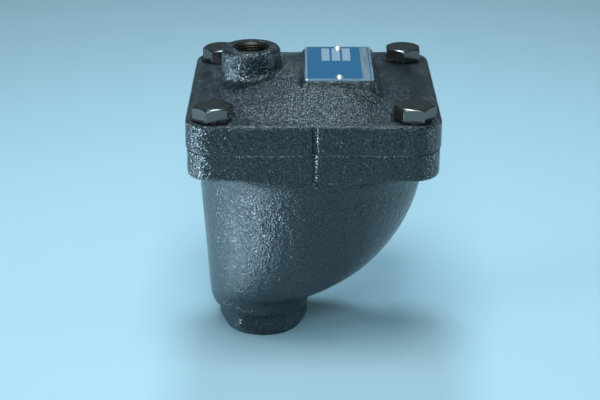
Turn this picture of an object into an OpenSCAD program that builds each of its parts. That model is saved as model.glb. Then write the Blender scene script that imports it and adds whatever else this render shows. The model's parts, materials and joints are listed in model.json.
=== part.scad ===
// Air release valve: a cast bowl with a square cover. A ball float inside swings a forked lever,
// and the lever lifts a soft disc onto the seat below the outlet.
// Millimetres, origin at the centre of the inlet mouth, +Z up, the nameplate side at +X.

/* [Flanges] */
// Width and depth of the square cover flange
flange_w = 127; // [124:1:142]
// Distance from the inlet axis to the edge of the cover flange, on the drafted side
flange_reach = 36.8; // [35:0.2:38]
// How much narrower the body flange is than the cover flange
flange_step = 1; // [0.4:0.2:2]
// Corner radius of the flanges
flange_corner_r = 14; // [10:1:16]
// Rounding of the cast edge of the flanges
flange_edge_r = 1.5; // [0.8:0.1:2.5]
// Thickness of the cover flange
cover_flange_t = 14.4; // [12:0.2:17]
// Thickness of the body flange
body_flange_t = 14.2; // [12:0.2:17]
// Thickness of the gasket between the flanges
gasket_t = 0.8; // [0.5:0.1:1.5]
// How far the edge of the gasket stands back from the edge of the body flange
gasket_inset = 0.2; // [0.1:0.1:2]
// Radius of the half-round match groove on the front of both flanges
groove_r = 1.5; // [1:0.1:2.2]
// Distance from the flange centre to the match groove, along X
groove_x = 0.5; // [-4:0.1:4]

/* [Cover bolts] */
// Distance from the edge of the cover flange to the axes of the bolts
bolt_edge = 13.8; // [12:0.2:15]
// Nominal diameter of the bolts
bolt_d = 12; // [10:0.5:12.5]
// Width across the flats of the bolt heads
bolt_af = 18; // [16:0.5:18.5]
// Height of the bolt heads
bolt_head_h = 7.5; // [6:0.5:9]
// Length of the bolt shanks
bolt_l = 25; // [20:1:27]
// Diameter of the bolt holes in the cover
bolt_hole_d = 13.5; // [13:0.1:14]
// Diameter of the machined spot face under each bolt head
spot_d = 23; // [21.5:0.1:24]

/* [Bowl] */
// Height of the body, from the inlet mouth to the gasket face
body_h = 119.5; // [114:0.5:130]
// How far the drafted side, just below the flange, stands back from the edge of the cover flange
side_inset = 2.5; // [1.8:0.1:5]
// How far the swept side stands back from the edge of the body flange
bowl_inset = 4; // [2.6:0.2:5]
// Wall thickness of the bowl
bowl_wall = 6; // [4:0.5:6.5]
// Draft of the straight side of the bowl, in degrees
bowl_draft = 3.7; // [2:0.1:4.4]
// Depth of the centre of the bowl's swept side below the gasket face
sweep_drop = 16.4; // [14:0.2:20]
// Radius of the cast fillet between bowl and flange
bowl_fillet_r = 12; // [6:0.5:13]

/* [Inlet neck] */
// Width across the flats of the hexagon on the neck
neck_af = 42.2; // [40:0.2:46]
// Height of the flats on the neck
neck_flat_h = 13; // [10:0.5:16]
// Major diameter of the inlet thread
inlet_d = 26.44; // [24:0.02:28]
// Depth of the inlet thread
inlet_l = 17; // [14:0.5:18]

/* [Cover] */
// How far the foot of the dome stands back from the edge of the cover flange
dome_inset = 3.5; // [2:0.5:6]
// Height of the dome above the flange
dome_h = 12.2; // [11:0.2:12.4]
// Thickness of the dome
dome_wall = 8; // [6:0.5:10]
// Distance of the outlet axis from the inlet axis, along X
outlet_x = -5.2; // [-6:0.1:-3]
// Height of the outlet boss above the flange
outlet_h = 21.6; // [20:0.2:28]
// Outer diameter of the outlet boss at its top
outlet_boss_d = 30.2; // [27:0.2:32]
// Major diameter of the outlet thread
outlet_d = 16.66; // [14:0.02:18]
// Depth of the outlet thread
outlet_l = 14; // [12:0.5:15]
// Height of the plate pad above the flange
plate_pad_h = 12.7; // [12.5:0.1:16]
// Distance from the flange centre to the plate centre, along X
plate_x = 13.2; // [12:0.2:15]
// Distance from the flange centre to the plate centre, along Y
plate_y = -1.5; // [-3:0.5:1]

/* [Nameplate] */
// Width of the plate, along X
plate_w = 34.5; // [30:0.5:36]
// Length of the plate, along Y
plate_l = 57; // [50:1:59]
// Thickness of the plate
plate_t = 0.8; // [0.5:0.1:1.5]
// Distance from the ends of the plate to the rivets
rivet_edge = 3.5; // [2.6:0.1:5]
// Diameter of the rivet heads
rivet_head_d = 4.2; // [3.4:0.1:5]

/* [Seat] */
// Width across the flats of the seat head
seat_af = 19; // [17:0.5:20]
// Height of the seat head
seat_head_h = 4; // [3:0.5:6]
// Diameter of the threaded shank of the seat
seat_shank_d = 16; // [14:0.5:17]
// Length of the threaded shank of the seat
seat_shank_l = 10; // [8:0.5:12]
// Diameter of the orifice
orifice_d = 3; // [2:0.1:4]
// Diameter of the raised lip round the orifice
seat_lip_d = 6; // [5:0.1:7]
// Thickness of the ring gasket under the seat head
seat_gasket_t = 1; // [0.6:0.1:1.5]

/* [Bracket] */
// Distance between the inner faces of the two ears
ear_gap = 24; // [23.6:0.1:25]
// Thickness of the ears and of the guide bridge
ear_t = 2; // [1.6:0.1:2.4]
// Thickness of the bracket's foot plate
foot_t = 2; // [1.6:0.1:3]
// Diameter of the bracket screws
screw_d = 5; // [4:0.5:5.5]
// Distance between the bracket screws
screw_pitch = 36; // [35:0.5:38]

/* [Lever and valve] */
// Distance from the hinge pin to the stem axis
lever_arm = 12; // [11.5:0.1:13]
// Swing of the lever from open to closed, in degrees
lever_swing = 21; // [14:0.5:22]
// Height of the lever's fork
lever_h = 7; // [6:0.5:8]
// Diameter of the hinge pin
hinge_d = 5; // [4:0.1:5.4]
// Diameter of the valve stem
stem_d = 5; // [4.4:0.1:5.6]
// Diameter of the cross pin in the stem
stem_pin_d = 3; // [2:0.1:3.2]
// Diameter of the cup that holds the disc
cup_d = 11; // [10.4:0.1:11.6]
// Diameter of the soft disc
disc_d = 8.6; // [8:0.1:9]
// Thickness of the soft disc
disc_t = 2.8; // [2.4:0.1:3.4]

/* [Float] */
// Clearance between the ball float at rest and the swept side of the bowl
float_gap = 4.6; // [3:0.1:8]
// Thickness of the float's sheet
float_wall = 0.8; // [0.5:0.1:1.5]
// Distance of the float's centre below the line of the fork
float_drop = 18; // [16:0.5:20]
// Diameter of the float's stud
stud_d = 6; // [5:0.5:7]
// Thickness of the lever's bent tab
tab_t = 3; // [2:0.5:4]

/* [Hidden] */
$fn = 48;
IRON = "#2b3438";
STEEL = "#3a4142";
STAINLESS = "#b9bcc0";
BRASS = "#c9b57a";
RUBBER = "#1d1d1f";
SHEET = "#4a4640";
PLATE_BLUE = "#2f6f9c";

HULL_FN = 32;
BALL_FN = 96;
EDGE_STEPS = 4;
SMALL = 0.5;

// Free play between pieces that fit together
screw_play = 0.05;
pin_play = 0.05;
clip_play = 0.02;
side_play = 0.2;
slot_play = 0.2;
seal_gap = 0.1;
clear = 1;

// Levels, from the inlet mouth upward
body_flange_w = flange_w - flange_step;
bowl_r = body_flange_w / 2 - bowl_inset;
flange_x = flange_w / 2 - flange_reach;
side_reach = flange_reach - side_inset;
body_flange_z = body_h - body_flange_t;
cover_z = body_h + gasket_t;
cover_top_z = cover_z + cover_flange_t;
outlet_top_z = cover_top_z + outlet_h;
plate_z = cover_top_z + plate_pad_h;

// Bolts: one place and one turn of the head for each corner
bolt_pitch = flange_w - 2 * bolt_edge;
bolt_places = [for (y = [-1, 1], x = [-1, 1]) [flange_x + x * bolt_pitch / 2, y * bolt_pitch / 2]];
bolt_turns = [16, -5, 1, 29];
spot_depth = 0.6;
bolt_seat_z = cover_top_z - spot_depth;
bolt_face_h = 0.4;
face_share = 0.95;
head_share = 0.96;
groove_out = groove_r * 0.1;
bolt_chamfer = 30;

// Bowl: each level section is a circle from the drafted side to the side swept about the inlet axis
sweep_r = flange_x + bowl_r;
sweep_z = body_h - sweep_drop;
neck_r = neck_af / 2 / cos(30);
collar_step = 0.4;
collar_r = neck_r + collar_step;
toe_h = 8;
toe_z = neck_flat_h + toe_h;
join_angle = acos(collar_r / sweep_r);
fillet_z = body_flange_z - bowl_fillet_r;
fillet_angle = asin(max(0, sweep_z - fillet_z) / sweep_r);
OUTER_STEPS = 14;
FLARE_STEPS = 5;
INNER_STEPS = 12;
TOE_STEPS = 4;
OUTER_SIDES = 56;
INNER_SIDES = 44;
passage_step = 1.2;
passage_r = inlet_d / 2 - passage_step;
cavity_r = sweep_r - bowl_wall;
floor_angle = acos((passage_r + clear) / cavity_r);
floor_z = sweep_z - cavity_r * sin(floor_angle);
mouth_r = bowl_r - bowl_wall;
gasket_bore_step = 2.2;
gasket_bore_r = mouth_r + gasket_bore_step;
neck_chamfer = 4.2;
neck_chamfer_h = 6.2;
thread_chamfer = 0.7;

// Cover
dome_r = flange_w / 2 - dome_inset;
dome_sphere_r = (dome_r * dome_r + dome_h * dome_h) / (2 * dome_h);
dome_centre_z = cover_top_z + dome_h - dome_sphere_r;
cover_lip = 4;
hollow_r = mouth_r - cover_lip;
boss_draft = 2;
boss_chamfer = 1.2;
passage_d = 8;
pad_margin = 1;
pad_slope = 4;
pad_corner_r = 3;
plate_corner_r = 2;
rivet_d = 2;
rivet_pitch = plate_l - 2 * rivet_edge;
rivet_l = 4;
rivet_dome = 0.28;

// Mechanism pad on the underside of the cover, and the seat below it
mech_drop = 1.8;
mech_z = cover_z - mech_drop;
mech_gap = 1.6;
mech_r = mouth_r - mech_gap;
mech_left = 17.5;
mech_right = 22;
mech_half_y = 25;
mech_bite = 1.5;
shank_z = mech_z + seat_shank_l;
seat_top_z = mech_z - seat_gasket_t;
seat_lip_h = 1;
seat_lip_slope = 0.8;
seat_lip_z = seat_top_z - seat_head_h - seat_lip_h;
seat_gasket_r = seat_af / 2 - side_play;

// Lever: rest is the open stop, with the float hanging low
half_swing = lever_swing / 2;
half_lift = lever_arm * half_swing * PI / 180;
fork_half_h = lever_h / 2;
cheek_t = 2.5;
stem_gap = 1.5;
cheek_in = stem_d / 2 + stem_gap;
cheek_out = cheek_in + cheek_t;
hub_wall = 2;
hub_r = hinge_d / 2 + hub_wall;
hub_half = ear_gap / 2 - side_play;
cup_r = cup_d / 2;
cup_h = 3.2;
cup_depth = 1.8;
cup_gap = 0.4;
cup_lift = fork_half_h + cup_r * sin(half_swing) + cup_gap;
disc_top = cup_lift + cup_h - cup_depth + disc_t;
pin_closed_z = seat_lip_z - seal_gap - disc_top;
hinge_z = pin_closed_z - half_lift;
pin_rest_z = hinge_z - half_lift;
hinge_x = outlet_x - lever_arm;

// Bracket
ear_wall = 2.5;
ear_r = hinge_d / 2 + ear_wall;
foot_z = mech_z - foot_t;
foot_hole_r = ear_gap / 2 - side_play;
guide_half_x = 5;
guide_gap = 1.2;
bridge_z = pin_rest_z - fork_half_h - guide_half_x * sin(half_swing) - guide_gap - ear_t;
stem_tail = pin_closed_z - bridge_z + clear;
foot_edge = 6;
foot_half_y = screw_pitch / 2 + foot_edge;
wing_start = 7;
wing_w = 14;
wing_x0 = outlet_x + wing_start;
wing_x1 = wing_x0 + wing_w;
screw_x = (wing_x0 + wing_x1) / 2;
screw_l = 11;
screw_head_d = screw_d * 1.7;
socket_af = screw_d * 0.8;
washer_t = 1.2;
washer_gap = 0.8;

// Pins with a groove and a ring at each end
ring_t = 0.7;
groove = 0.35;
ring_share = 1.6;
ring_mouth = 0.8;

// Float and its fixing, in the lever's own frame: hinge at the origin, fork along X
stud_x = (lever_arm + stem_d / 2 + clear + float_drop * sin(half_swing)) / cos(half_swing);
nut_af = stud_d * 1.67;
nut_h = stud_d * 0.8;
stud_end = 1;
nut_x = stud_x + stud_end;
float_washer_x = nut_x + nut_h;
tab_x = float_washer_x + washer_t;
boss_x = tab_x + tab_t;
boss_l = 2.5;
boss_r = stud_d;
float_foot = boss_x + boss_l;
foot_dx = hinge_x + float_foot * cos(half_swing) - float_drop * sin(half_swing);
foot_dz = hinge_z - float_foot * sin(half_swing) - float_drop * cos(half_swing) - sweep_z;
float_room = cavity_r - float_gap;
foot_along = foot_dx * cos(half_swing) - foot_dz * sin(half_swing);
// The ball that just leaves its gap to the swept side: it grows from its boss along the fork's line
float_r = (pow(float_room, 2) - pow(foot_dx, 2) - pow(foot_dz, 2)) / (2 * (foot_along + float_room));
float_x = float_foot + float_r;
web_x = lever_arm + stem_d / 2 + stem_gap;
web_t = 3.5;
web_lap = 4;

// Bowl sections
function side_x(z) = tan(bowl_draft) * (body_flange_z - z) - side_reach;
function toe_fall(z) = sqrt(max(0, 1 - pow((toe_z - z) / (toe_z - neck_flat_h), 2)));
function left_x(z) =
    z >= toe_z ? side_x(z) : -collar_r - max(0, -collar_r - side_x(toe_z)) * toe_fall(z);
function swept_x(z, r) = z >= sweep_z ? r : sqrt(max(0, r * r - pow(sweep_z - z, 2)));
function right_x(z) = max(collar_r, swept_x(z, sweep_r));
function ring(z, left, right, sides) =
    [for (i = [0 : sides - 1])
        [(left + right) / 2 + (right - left) / 2 * cos(360 * i / sides),
         (right - left) / 2 * sin(360 * i / sides), z]];
function arc_levels(r, from, to, steps) =
    [for (i = [0 : steps]) sweep_z - r * sin(from + (to - from) * i / steps)];
function flare(z) =
    z <= fillet_z ? 0 :
    bowl_fillet_r - sqrt(max(0, pow(bowl_fillet_r, 2) - pow(min(z, body_flange_z) - fillet_z, 2)));

// Closed skin through equal rings, listed from the top down
module loft(rings) {
    sides = len(rings[0]);
    last = len(rings) - 1;
    walls = [for (k = [0 : last - 1], i = [0 : sides - 1])
        let (a = k * sides + i, b = k * sides + (i + 1) % sides)
        each [[a, b, a + sides], [b, b + sides, a + sides]]];
    top = [for (i = [0 : sides - 1]) sides - 1 - i];
    bottom = [for (i = [0 : sides - 1]) last * sides + i];
    polyhedron(points = [for (r = rings) each r], faces = concat(walls, [top, bottom]), convexity = 4);
}

// The bowl with the cast fillet that spreads below the flange, cut off at the flange's edge
module bowl_outer() {
    join_z = sweep_z - sweep_r * sin(join_angle);
    flare_levels = [for (i = [0 : FLARE_STEPS - 1]) fillet_z + bowl_fillet_r * cos(90 * i / FLARE_STEPS)];
    toe_levels = [for (i = [1 : TOE_STEPS]) join_z + (neck_flat_h - join_z) * i / TOE_STEPS];
    levels = concat(
        [body_flange_z + 2 * flange_edge_r], flare_levels,
        arc_levels(sweep_r, fillet_angle, join_angle, OUTER_STEPS), toe_levels);
    intersection() {
        loft([for (z = levels) ring(z, left_x(z) - flare(z), right_x(z) + flare(z), OUTER_SIDES)]);
        translate([flange_x, 0, body_h / 2])
            cube([body_flange_w, body_flange_w, 2 * body_h], center = true);
    }
}

module bowl_cavity() {
    levels = concat([body_h + clear], arc_levels(cavity_r, 0, floor_angle, INNER_STEPS));
    loft([for (z = levels) ring(z, side_x(z) + bowl_wall, swept_x(z, cavity_r), INNER_SIDES)]);
}

// Square slab with round corners and one rounded edge, on top
module slab(w, t, edge_r) {
    r = flange_corner_r;
    arc = [for (i = [0 : EDGE_STEPS])
        let (a = 90 * i / EDGE_STEPS)
        [r - edge_r + edge_r * cos(a), t - edge_r + edge_r * sin(a)]];
    hull() {
        for (x = [-1, 1], y = [-1, 1]) {
            translate([x * (w / 2 - r), y * (w / 2 - r), 0])
                rotate_extrude($fn = HULL_FN)
                    polygon(concat([[0, 0], [r, 0]], arc, [[0, t]]));
        }
    }
}

// Square outline with round corners
module rounded_square(w, l, r) {
    square([w - 2 * r, l], center = true);
    square([w, l - 2 * r], center = true);
    for (x = [-1, 1], y = [-1, 1]) {
        translate([x * (w / 2 - r), y * (l / 2 - r)])
            circle(r);
    }
}

module at_bolts() {
    for (i = [0 : 3]) {
        translate(concat(bolt_places[i], [0]))
            rotate(bolt_turns[i])
                children();
    }
}

// Cutter for the match groove, over both flanges
module match_groove() {
    translate([flange_x + groove_x, -flange_w / 2 - groove_out, body_flange_z - clear])
        cylinder(r = groove_r, h = cover_top_z - body_flange_z + 2 * clear);
}

// Hexagon prism with its outer corners chamfered at the top
module hexagon(af, h, chamfer_angle) {
    r = af / 2 / cos(30);
    rise = (r - af / 2 * head_share) * tan(chamfer_angle);
    intersection() {
        cylinder(r = r, h = h, $fn = 6);
        union() {
            cylinder(r = r + SMALL, h = h - rise);
            translate([0, 0, h - rise])
                cylinder(r1 = r, r2 = af / 2 * head_share, h = rise);
        }
    }
}

module inlet_neck() {
    intersection() {
        cylinder(r = neck_r, h = neck_flat_h + clear, $fn = 6);
        union() {
            cylinder(r1 = neck_r - neck_chamfer, r2 = neck_r + SMALL, h = neck_chamfer_h);
            translate([0, 0, neck_chamfer_h])
                cylinder(r = neck_r + SMALL, h = neck_flat_h);
        }
    }
}

module body() {
    color(IRON)
        difference() {
            union() {
                bowl_outer();
                inlet_neck();
                translate([flange_x, 0, body_h])
                    mirror([0, 0, 1])
                        slab(body_flange_w, body_flange_t, flange_edge_r);
            }
            bowl_cavity();
            match_groove();
            translate([0, 0, -clear])
                cylinder(d = inlet_d, h = inlet_l + clear);
            cylinder(r = passage_r, h = floor_z + clear);
            translate([0, 0, body_flange_z - bowl_fillet_r])
                at_bolts()
                    cylinder(d = bolt_d + 2 * screw_play, h = bowl_fillet_r + body_flange_t + clear);
        }
}

module dome(r) {
    translate([flange_x, 0, dome_centre_z])
        sphere(r, $fn = BALL_FN);
}

module plate_pad() {
    top_edge = 2 * pad_margin;
    foot = 2 * (pad_margin + pad_slope);
    translate([flange_x + plate_x, plate_y, cover_top_z])
        hull() {
            translate([0, 0, plate_pad_h - SMALL])
                linear_extrude(SMALL)
                    rounded_square(plate_w + top_edge, plate_l + top_edge, pad_corner_r, $fn = HULL_FN);
            linear_extrude(SMALL)
                rounded_square(plate_w + foot, plate_l + foot, pad_corner_r + pad_slope / 2, $fn = HULL_FN);
        }
}

module outlet_boss() {
    r = outlet_boss_d / 2;
    translate([outlet_x, 0, cover_z + clear])
        rotate_extrude()
            polygon([[0, 0], [r + boss_draft, 0], [r, outlet_top_z - boss_chamfer - cover_z - clear],
                [r - boss_chamfer, outlet_top_z - cover_z - clear], [0, outlet_top_z - cover_z - clear]]);
}

// Cast pad that the seat and the bracket are screwed to
module mechanism_pad() {
    intersection() {
        translate([outlet_x - mech_left, -mech_half_y, mech_z])
            cube([mech_left + mech_right, 2 * mech_half_y, cover_top_z + dome_h - mech_z]);
        translate([flange_x, 0, mech_z - clear])
            cylinder(r = mech_r, h = cover_top_z + dome_h);
        dome(dome_sphere_r - mech_bite);
    }
}

module cover_hollow() {
    intersection() {
        translate([flange_x, 0, cover_z - clear])
            cylinder(r = hollow_r, h = cover_flange_t + dome_h + clear);
        dome(dome_sphere_r - dome_wall);
    }
}

module outlet_way() {
    translate([outlet_x, 0, 0]) {
        translate([0, 0, outlet_top_z - outlet_l])
            cylinder(d = outlet_d, h = outlet_l + clear);
        translate([0, 0, outlet_top_z - thread_chamfer])
            cylinder(d1 = outlet_d, d2 = outlet_d + 2 * (thread_chamfer + SMALL), h = thread_chamfer + SMALL);
        translate([0, 0, mech_z])
            cylinder(d = passage_d, h = outlet_top_z - mech_z - outlet_l + clear);
        translate([0, 0, mech_z - clear])
            cylinder(d = seat_shank_d + 2 * screw_play, h = seat_shank_l + 2 * clear);
    }
}

module at_screws() {
    for (y = [-1, 1]) {
        translate([screw_x, y * screw_pitch / 2, 0])
            children();
    }
}

module at_rivets() {
    for (y = [-1, 1]) {
        translate([flange_x + plate_x, plate_y + y * rivet_pitch / 2, plate_z])
            children();
    }
}

module cover() {
    color(IRON)
        difference() {
            union() {
                difference() {
                    union() {
                        translate([flange_x, 0, cover_z])
                            slab(flange_w, cover_flange_t, flange_edge_r);
                        intersection() {
                            dome(dome_sphere_r);
                            translate([flange_x, 0, cover_z + clear])
                                cylinder(r = dome_r, h = cover_flange_t + dome_h);
                        }
                        plate_pad();
                        outlet_boss();
                    }
                    cover_hollow();
                }
                mechanism_pad();
            }
            outlet_way();
            match_groove();
            at_bolts() {
                translate([0, 0, cover_z - clear])
                    cylinder(d = bolt_hole_d, h = cover_flange_t + 2 * clear);
                translate([0, 0, bolt_seat_z])
                    cylinder(d = spot_d, h = dome_h);
            }
            at_screws()
                translate([0, 0, mech_z - clear])
                    cylinder(d = screw_d + 2 * screw_play, h = screw_l + clear);
            at_rivets()
                translate([0, 0, -rivet_l - clear])
                    cylinder(d = rivet_d + 2 * screw_play, h = rivet_l + 2 * clear);
        }
}

module cover_gasket() {
    w = body_flange_w - 2 * gasket_inset;
    color(SHEET)
        difference() {
            translate([flange_x, 0, body_h])
                linear_extrude(gasket_t)
                    difference() {
                        rounded_square(w, w, flange_corner_r - gasket_inset);
                        circle(gasket_bore_r);
                    }
            translate([0, 0, body_h - clear])
                at_bolts()
                    cylinder(d = bolt_hole_d, h = gasket_t + 2 * clear);
        }
}

module cover_bolts() {
    color(STEEL)
        translate([0, 0, bolt_seat_z])
            at_bolts() {
                translate([0, 0, -bolt_l])
                    cylinder(d = bolt_d, h = bolt_l + bolt_face_h);
                cylinder(d = bolt_af * face_share, h = bolt_face_h + clear);
                translate([0, 0, bolt_face_h])
                    hexagon(bolt_af, bolt_head_h - bolt_face_h, bolt_chamfer);
            }
}

module nameplate() {
    color(PLATE_BLUE)
        difference() {
            translate([flange_x + plate_x, plate_y, plate_z])
                linear_extrude(plate_t)
                    rounded_square(plate_w, plate_l, plate_corner_r);
            at_rivets()
                translate([0, 0, -clear])
                    cylinder(d = rivet_d + 2 * screw_play, h = plate_t + 2 * clear);
        }
}

module nameplate_rivets() {
    head_h = rivet_head_d * rivet_dome;
    head_r = rivet_head_d / 2;
    sphere_r = (head_r * head_r + head_h * head_h) / (2 * head_h);
    color(STAINLESS)
        at_rivets() {
            translate([0, 0, -rivet_l])
                cylinder(d = rivet_d, h = rivet_l + plate_t + head_h / 2);
            intersection() {
                translate([0, 0, plate_t + head_h - sphere_r])
                    sphere(sphere_r);
                translate([0, 0, plate_t])
                    cylinder(r = head_r + SMALL, h = head_h + clear);
            }
        }
}

module valve_seat() {
    lip_r = seat_lip_d / 2;
    tip_r = lip_r - seat_lip_h * seat_lip_slope;
    color(BRASS)
        translate([outlet_x, 0, 0])
            difference() {
                union() {
                    translate([0, 0, seat_top_z])
                        mirror([0, 0, 1])
                            rotate(30)
                                hexagon(seat_af, seat_head_h, bolt_chamfer);
                    translate([0, 0, seat_top_z - clear])
                        cylinder(d = seat_shank_d, h = shank_z - seat_top_z + clear);
                    translate([0, 0, seat_lip_z])
                        cylinder(r1 = tip_r, r2 = lip_r, h = seat_lip_h + SMALL);
                }
                translate([0, 0, seat_lip_z - clear])
                    cylinder(d = orifice_d, h = seat_head_h + seat_shank_l);
                translate([0, 0, seat_top_z - seat_head_h / 2])
                    cylinder(d = passage_d, h = seat_shank_l + seat_head_h);
            }
}

module seat_gasket() {
    color(BRASS)
        translate([outlet_x, 0, seat_top_z])
            difference() {
                cylinder(r = seat_gasket_r, h = seat_gasket_t);
                translate([0, 0, -clear])
                    cylinder(d = seat_shank_d + 2 * screw_play, h = seat_gasket_t + 2 * clear);
            }
}

// One ear, seen along Y: a round eye at the hinge and a leg beside the stem
module ear_outline() {
    leg_x = outlet_x - guide_half_x;
    translate([hinge_x, hinge_z])
        circle(ear_r);
    translate([hinge_x - ear_r, hinge_z])
        square([outlet_x + guide_half_x - hinge_x + ear_r, foot_z + foot_t - hinge_z]);
    translate([leg_x, bridge_z])
        square([2 * guide_half_x, foot_z + foot_t - bridge_z]);
}

// Turns an outline drawn in X and Z into a plate from y0 to y1
module plate_xz(y0, y1) {
    translate([0, y1, 0])
        rotate([90, 0, 0])
            linear_extrude(y1 - y0)
                children();
}

module lever_bracket() {
    ear_out = ear_gap / 2 + ear_t;
    color(STAINLESS)
        difference() {
            union() {
                plate_xz(ear_gap / 2, ear_out)
                    ear_outline();
                plate_xz(-ear_out, -ear_gap / 2)
                    ear_outline();
                translate([hinge_x - ear_r, -ear_out, foot_z])
                    cube([wing_x1 - hinge_x + ear_r, 2 * ear_out, foot_t]);
                translate([wing_x0, -foot_half_y, foot_z])
                    cube([wing_x1 - wing_x0, 2 * foot_half_y, foot_t]);
                translate([outlet_x - guide_half_x, -ear_out, bridge_z])
                    cube([2 * guide_half_x, 2 * ear_out, ear_t]);
            }
            translate([outlet_x, 0, foot_z - clear])
                cylinder(r = foot_hole_r, h = foot_t + 2 * clear);
            translate([outlet_x, 0, bridge_z - clear])
                cylinder(d = stem_d + 2 * pin_play, h = ear_t + 2 * clear);
            translate([hinge_x, ear_out + clear, hinge_z])
                rotate([90, 0, 0])
                    cylinder(d = hinge_d + 2 * clip_play, h = 2 * (ear_out + clear));
            at_screws()
                translate([0, 0, foot_z - clear])
                    cylinder(d = screw_d + 2 * pin_play, h = foot_t + 2 * clear);
        }
}

module bracket_screws() {
    head_z = foot_z - washer_t;
    color(STAINLESS)
        at_screws()
            difference() {
                union() {
                    translate([0, 0, head_z - screw_d])
                        cylinder(d = screw_head_d, h = screw_d);
                    translate([0, 0, head_z - clear])
                        cylinder(d = screw_d, h = washer_t + foot_t + screw_l - clear);
                }
                translate([0, 0, head_z - screw_d - clear])
                    cylinder(r = socket_af / 2 / cos(30), h = screw_d / 2 + clear, $fn = 6);
            }
}

// Split ring, lying on z = 0
module spring_washer(inner_d, outer_d) {
    difference() {
        cylinder(d = outer_d, h = washer_t);
        translate([0, 0, -clear])
            cylinder(d = inner_d, h = washer_t + 2 * clear);
        translate([0, -washer_gap / 2, -clear])
            cube([outer_d, washer_gap, washer_t + 2 * clear]);
    }
}

module bracket_washers() {
    color(STAINLESS)
        at_screws()
            translate([0, 0, foot_z - washer_t])
                spring_washer(screw_d + 2 * pin_play, screw_head_d);
}

// Pin along Y with a groove at each end; grip is half the length between the two rings
module grooved_pin(d, grip) {
    end = grip + ring_t + ring_t;
    rotate([90, 0, 0])
        difference() {
            translate([0, 0, -end])
                cylinder(d = d, h = 2 * end);
            for (side = [-1, 1]) {
                translate([0, 0, side * (grip + ring_t / 2)])
                    difference() {
                        cylinder(d = d + clear, h = ring_t, center = true);
                        cylinder(d = d - 2 * groove, h = ring_t + clear, center = true);
                    }
            }
        }
}

// The open retaining rings that sit in the grooves of such a pin
module pin_rings(d, grip) {
    inner_d = d - 2 * groove + 2 * clip_play;
    for (side = [-1, 1]) {
        translate([0, side * (grip + ring_t / 2), 0])
            rotate([90, 0, 0])
                difference() {
                    cylinder(d = d * ring_share, h = ring_t - 2 * clip_play, center = true);
                    cylinder(d = inner_d, h = ring_t + clear, center = true);
                    translate([0, -d, 0])
                        cube([inner_d * ring_mouth, 2 * d, ring_t + clear], center = true);
                }
    }
}

module hinge_pin() {
    color(STAINLESS)
        translate([hinge_x, 0, hinge_z])
            grooved_pin(hinge_d, ear_gap / 2 + ear_t);
}

module hinge_clips() {
    color(STAINLESS)
        translate([hinge_x, 0, hinge_z])
            pin_rings(hinge_d, ear_gap / 2 + ear_t);
}

// Places children, drawn in the lever's own frame, at the open stop
module on_lever() {
    translate([hinge_x, 0, hinge_z])
        rotate([0, half_swing, 0])
            children();
}

// Places children, drawn about the cross pin, at the open stop
module on_stem() {
    translate([outlet_x, 0, pin_rest_z])
        children();
}

module fork_outline() {
    slot_r = stem_pin_d / 2 + slot_play;
    slot_run = 0.6;
    difference() {
        union() {
            circle(fork_half_h);
            translate([0, -fork_half_h])
                square([web_x + web_lap, lever_h]);
        }
        translate([lever_arm - slot_run, 0])
            circle(slot_r);
        translate([lever_arm + slot_run, 0])
            circle(slot_r);
        translate([lever_arm - slot_run, -slot_r])
            square([2 * slot_run, 2 * slot_r]);
    }
}

module float_lever() {
    color(STAINLESS)
        on_lever()
            difference() {
                union() {
                    plate_xz(cheek_in, cheek_out)
                        fork_outline();
                    plate_xz(-cheek_out, -cheek_in)
                        fork_outline();
                    plate_xz(-hub_half, hub_half)
                        circle(hub_r);
                    translate([web_x, -cheek_out, fork_half_h - web_t])
                        cube([tab_x + tab_t - web_x, 2 * cheek_out, web_t]);
                    translate([tab_x, -cheek_out, -float_drop])
                        cube([tab_t, 2 * cheek_out, float_drop + fork_half_h]);
                    translate([tab_x, 0, -float_drop])
                        rotate([0, 90, 0])
                            cylinder(r = cheek_out, h = tab_t);
                }
                plate_xz(-hub_half - clear, hub_half + clear)
                    circle(d = hinge_d + 2 * pin_play);
                translate([tab_x - clear, 0, -float_drop])
                    rotate([0, 90, 0])
                        cylinder(d = stud_d + 2 * pin_play, h = tab_t + 2 * clear);
            }
}

module valve_stem() {
    color(STAINLESS)
        on_stem()
            difference() {
                union() {
                    translate([0, 0, -stem_tail])
                        cylinder(d = stem_d, h = stem_tail + cup_lift + clear);
                    translate([0, 0, cup_lift])
                        cylinder(r = cup_r, h = cup_h);
                }
                translate([0, 0, cup_lift + cup_h - cup_depth])
                    cylinder(d = disc_d + 2 * pin_play, h = cup_depth + clear);
                plate_xz(-stem_d, stem_d)
                    circle(d = stem_pin_d + 2 * clip_play);
            }
}

module valve_disc() {
    color(RUBBER)
        on_stem()
            translate([0, 0, cup_lift + cup_h - cup_depth])
                cylinder(d = disc_d, h = disc_t);
}

module stem_pin() {
    color(STAINLESS)
        on_stem()
            grooved_pin(stem_pin_d, cheek_out + side_play);
}

module stem_clips() {
    color(STAINLESS)
        on_stem()
            pin_rings(stem_pin_d, cheek_out + side_play);
}

// Half of the ball float; side is 1 for the upper half and -1 for the lower
module float_half(side) {
    on_lever()
        translate([float_x, 0, -float_drop])
            difference() {
                sphere(float_r, $fn = BALL_FN);
                sphere(float_r - float_wall, $fn = BALL_FN);
                translate([0, 0, -side * float_r])
                    cube([3 * float_r, 3 * float_r, 2 * float_r], center = true);
            }
}

module float_upper() {
    color(STAINLESS)
        float_half(1);
}

module float_lower() {
    color(STAINLESS)
        float_half(-1);
}

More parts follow.
